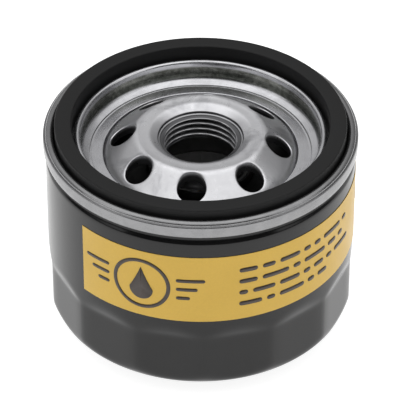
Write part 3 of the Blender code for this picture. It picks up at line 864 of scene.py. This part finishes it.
def make_inside(steel, spring, glue, sealant):
    """Hidden pieces, each made smooth on its CAD solid's own size."""
    made = []
    for name, node, face, inward in (
        ("upper_cap", "top_end_cap", TOP_CAP_Z, -1),
        ("lower_cap", "bottom_end_cap", LOW_CAP_Z, 1),
    ):
        rim = CAP_RIM * inward
        sheet = SHEET * inward
        profile = [(CAP_R, face + rim), (CAP_R, face + 0.9 * inward), (CAP_R - 0.25, face + 0.25 * inward)]
        profile += [(CAP_R - 0.9, face)]
        if inward < 0:
            profile += [(TUBE_R + 0.4, face), (TUBE_R, face + 0.4), (TUBE_R - 0.1, TOP_CAP_NECK_Z)]
            profile += [(TUBE_R - 0.55, TOP_CAP_NECK_Z), (TUBE_R - 0.5, face + sheet)]
        else:
            profile += [(7.0, face), (7.0, face + sheet)]
        profile += [(CAP_R - 0.9, face + sheet), (CAP_R - 0.5, face + 0.9 * inward)]
        profile += [(CAP_R - 0.5, face + rim)]
        made.append((turned(name, profile, steel, 128), node, "plated_steel"))
    for name, node in (("upper_glue", "top_potting"), ("lower_glue", "bottom_potting")):
        low, high = box_mm(node)
        profile = [(13.8, low.z), (13.6, high.z - 0.3), (13.9, high.z)]
        profile += [(31.6, high.z), (31.9, high.z - 0.3), (31.7, low.z)]
        made.append((turned(name, profile, glue, 128), node, "potting"))
    low, high = box_mm("seam_compound")
    round_bead = arc((BEAD_R, (low.z + high.z) / 2), 0.15, 180, -180, 10)[:-1]
    bead = [(BEAD_R + (r - BEAD_R) * 1.6, z) for r, z in round_bead]
    made.append((turned("seam_bead", bead, sealant, 128), "seam_compound", "seal_compound"))
    low, high = box_mm("element_spring")
    wire = coil("cartridge_spring", 11.6, low.z + 0.9, high.z - 0.9, 3.5, 1.8, spring)
    made.append((wire, "element_spring", "spring_steel"))
    return made


def make_pleats(material):
    low, high = box_mm("filter_media")
    pleats = 28
    builder = bmesh.new()
    loops = []
    for tip_r, tip_half, root_r, root_half in ((31.0, 0.9, 15.3, 0.25), (30.5, 0.4, 14.8, 0.75)):
        loop = []
        for i in range(pleats):
            for middle, radius, half in ((i, tip_r, tip_half), (i + 0.5, root_r, root_half)):
                turn = 360.0 * middle / pleats
                spread = math.degrees(half / radius)
                for share in (-1.0, -0.6, 0.6, 1.0):
                    pull = 0.22 if abs(share) == 1.0 else 0.0
                    r = radius - pull if radius == tip_r else radius + pull
                    loop.append(polar(r, turn + spread * share))
        loops.append(loop)
    rings = []
    outer, inner = loops
    for loop, z in ((outer, low.z), (outer, high.z), (inner, high.z), (inner, low.z), (outer, low.z)):
        rings.append([(x, y, z) for x, y in loop])
    add_rings(builder, rings)
    return new_object("pleated_paper", builder, material, 25)


# Putting it together -----------------------------------------------------------------------


def place(piece, node, slot, body="housing"):
    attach(piece, body)
    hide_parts(node)
    return piece


def dress(node, material):
    """Gives a CAD solid that stays on show its finished material."""
    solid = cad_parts[node]
    solid.data.materials.clear()
    solid.data.materials.append(material)


def make_object():
    steel = plate_steel()
    cap_steel = hidden_steel("cap_steel", (0.26, 0.26, 0.26), 0.34)
    spring_steel = hidden_steel("spring_steel", (0.30, 0.30, 0.30), 0.28)
    valve_rubber = rubber("valve_rubber", 0.006, 0.6)
    place(make_can(black_paint()), "can", "black_paint")
    place(make_lid(lid_steel()), "seaming_lid", "galvanised_steel")
    place(make_base_plate(steel), "base_plate", "plated_steel")
    place(make_gasket(rubber("gasket_rubber", 0.008, 0.52)), "gasket", "nitrile_rubber")
    place(make_label(label_yellow()), "label", "yellow_print")
    ink = make_print(label_ink())
    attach(ink, "housing")
    valve = make_drain_valve(valve_rubber)
    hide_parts("anti_drain_valve")
    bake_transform(valve)
    place(make_pleats(paper()), "filter_media", "filter_paper")
    glue = compound("potting_glue", (0.20, 0.17, 0.14))
    sealant = compound("seam_sealant", (0.22, 0.24, 0.23))
    for piece, node, slot in make_inside(cap_steel, spring_steel, glue, sealant):
        place(piece, node, slot)
    for node in ("media_clip", "bypass_seat", "bypass_disc", "bypass_cage"):
        dress(node, cap_steel)
    dress("centre_tube", hidden_steel("tube_steel", (0.55, 0.55, 0.55), 0.45))
    dress("bypass_seal", valve_rubber)
    low, high = box_mm("bypass_spring")
    bypass = coil("bypass_coil", 3.4, low.z + 0.3, high.z - 0.3, 4.5, 0.6, spring_steel)
    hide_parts("bypass_spring")
    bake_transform(bypass)


# The studio -----------------------------------------------------------------------------------

CAMERA_PLACE = (-0.00015, -0.6208, 0.5139)
CAMERA_PITCH = 37.77
CAMERA_LENS = 288.0
FLOOR_R = 4.0
FLOOR_GLOW = 0.88
OVERHEAD_GLOW = 1.06


def make_floor():
    builder = bmesh.new()
    bmesh.ops.create_circle(builder, cap_ends=True, segments=96, radius=FLOOR_R)
    mesh = bpy.data.meshes.new("studio_floor")
    builder.to_mesh(mesh)
    builder.free()
    n = Nodes("studio_floor")
    cloud = n.noise(n.place(), 3.0, 2.0)
    colour = n.mix(n.spread(cloud, 0, 1), (0.52, 0.52, 0.52), (0.50, 0.50, 0.50))
    glow = {"Emission_Color": (1.0, 1.0, 1.0, 1.0), "Emission_Strength": FLOOR_GLOW}
    mesh.materials.append(n.finish(Base_Color=colour, Roughness=0.9, **glow))
    floor = link(bpy.data.objects.new("studio_floor", mesh))
    floor.location.z = -0.05 * MM


def make_world():
    """A wide soft light overhead, grey behind the object and dark on the camera's side."""
    world = bpy.data.worlds.new("studio")
    bpy.context.scene.world = world
    world.use_nodes = True
    tree = world.node_tree
    back = tree.nodes["Background"]
    place = tree.nodes.new("ShaderNodeTexCoord")
    split = tree.nodes.new("ShaderNodeSeparateXYZ")
    tree.links.new(place.outputs["Generated"], split.inputs[0])

    def step(source, low, high, to_low, to_high):
        node = tree.nodes.new("ShaderNodeMapRange")
        node.interpolation_type = "SMOOTHSTEP"
        tree.links.new(source, node.inputs["Value"])
        for name, value in (("From Min", low), ("From Max", high), ("To Min", to_low), ("To Max", to_high)):
            node.inputs[name].default_value = value
        return node.outputs["Result"]

    def combine(operation, a, b):
        node = tree.nodes.new("ShaderNodeMath")
        node.operation = operation
        for index, value in enumerate((a, b)):
            if isinstance(value, bpy.types.NodeSocket):
                tree.links.new(value, node.inputs[index])
            else:
                node.inputs[index].default_value = value
        return node.outputs[0]

    x, y, z = split.outputs
    behind = combine("MULTIPLY", step(y, 0.0, 0.65, 0.03, 0.47), step(z, 0.05, 0.50, 0.55, 1.0))
    low = combine("MULTIPLY", behind, step(x, -0.55, 0.55, 1.3, 0.7))
    above = step(z, 0.58, 0.80, 0.0, 1.0)
    low_share = combine("MULTIPLY", low, combine("SUBTRACT", 1.0, above))
    strength = combine("ADD", low_share, combine("MULTIPLY", above, OVERHEAD_GLOW))
    tree.links.new(strength, back.inputs["Strength"])
    back.inputs["Color"].default_value = (1.0, 1.0, 1.0, 1.0)


def make_light(name, place, size, power, target=(0, 0, 0.03)):
    data = bpy.data.lights.new(name, "AREA")
    data.shape = "RECTANGLE"
    data.size = size[0]
    data.size_y = size[1]
    data.energy = power
    light = link(bpy.data.objects.new(name, data))
    light.location = place
    light.rotation_mode = "QUATERNION"
    light.rotation_quaternion = (Vector(target) - Vector(place)).to_track_quat("-Z", "Y")


def make_camera():
    data = bpy.data.cameras.new("camera")
    data.sensor_width = 36.0
    data.lens = CAMERA_LENS
    data.clip_start = 0.05
    data.clip_end = 50.0
    camera = link(bpy.data.objects.new("camera", data))
    camera.location = CAMERA_PLACE
    camera.rotation_euler = (math.radians(90.0 - CAMERA_PITCH), 0.0, 0.0)
    bpy.context.scene.camera = camera


def make_studio():
    make_floor()
    make_world()
    make_light("overhead", (0.0, 0.05, 0.9), (0.9, 0.6), 0.6)
    make_light("left_side", (-0.8, -0.3, 0.5), (0.6, 0.6), 1.2)
    make_light("right_side", (0.8, -0.3, 0.5), (0.6, 0.6), 1.2)
    bpy.context.scene.view_settings.view_transform = "Standard"


make_camera()
make_object()
make_studio()
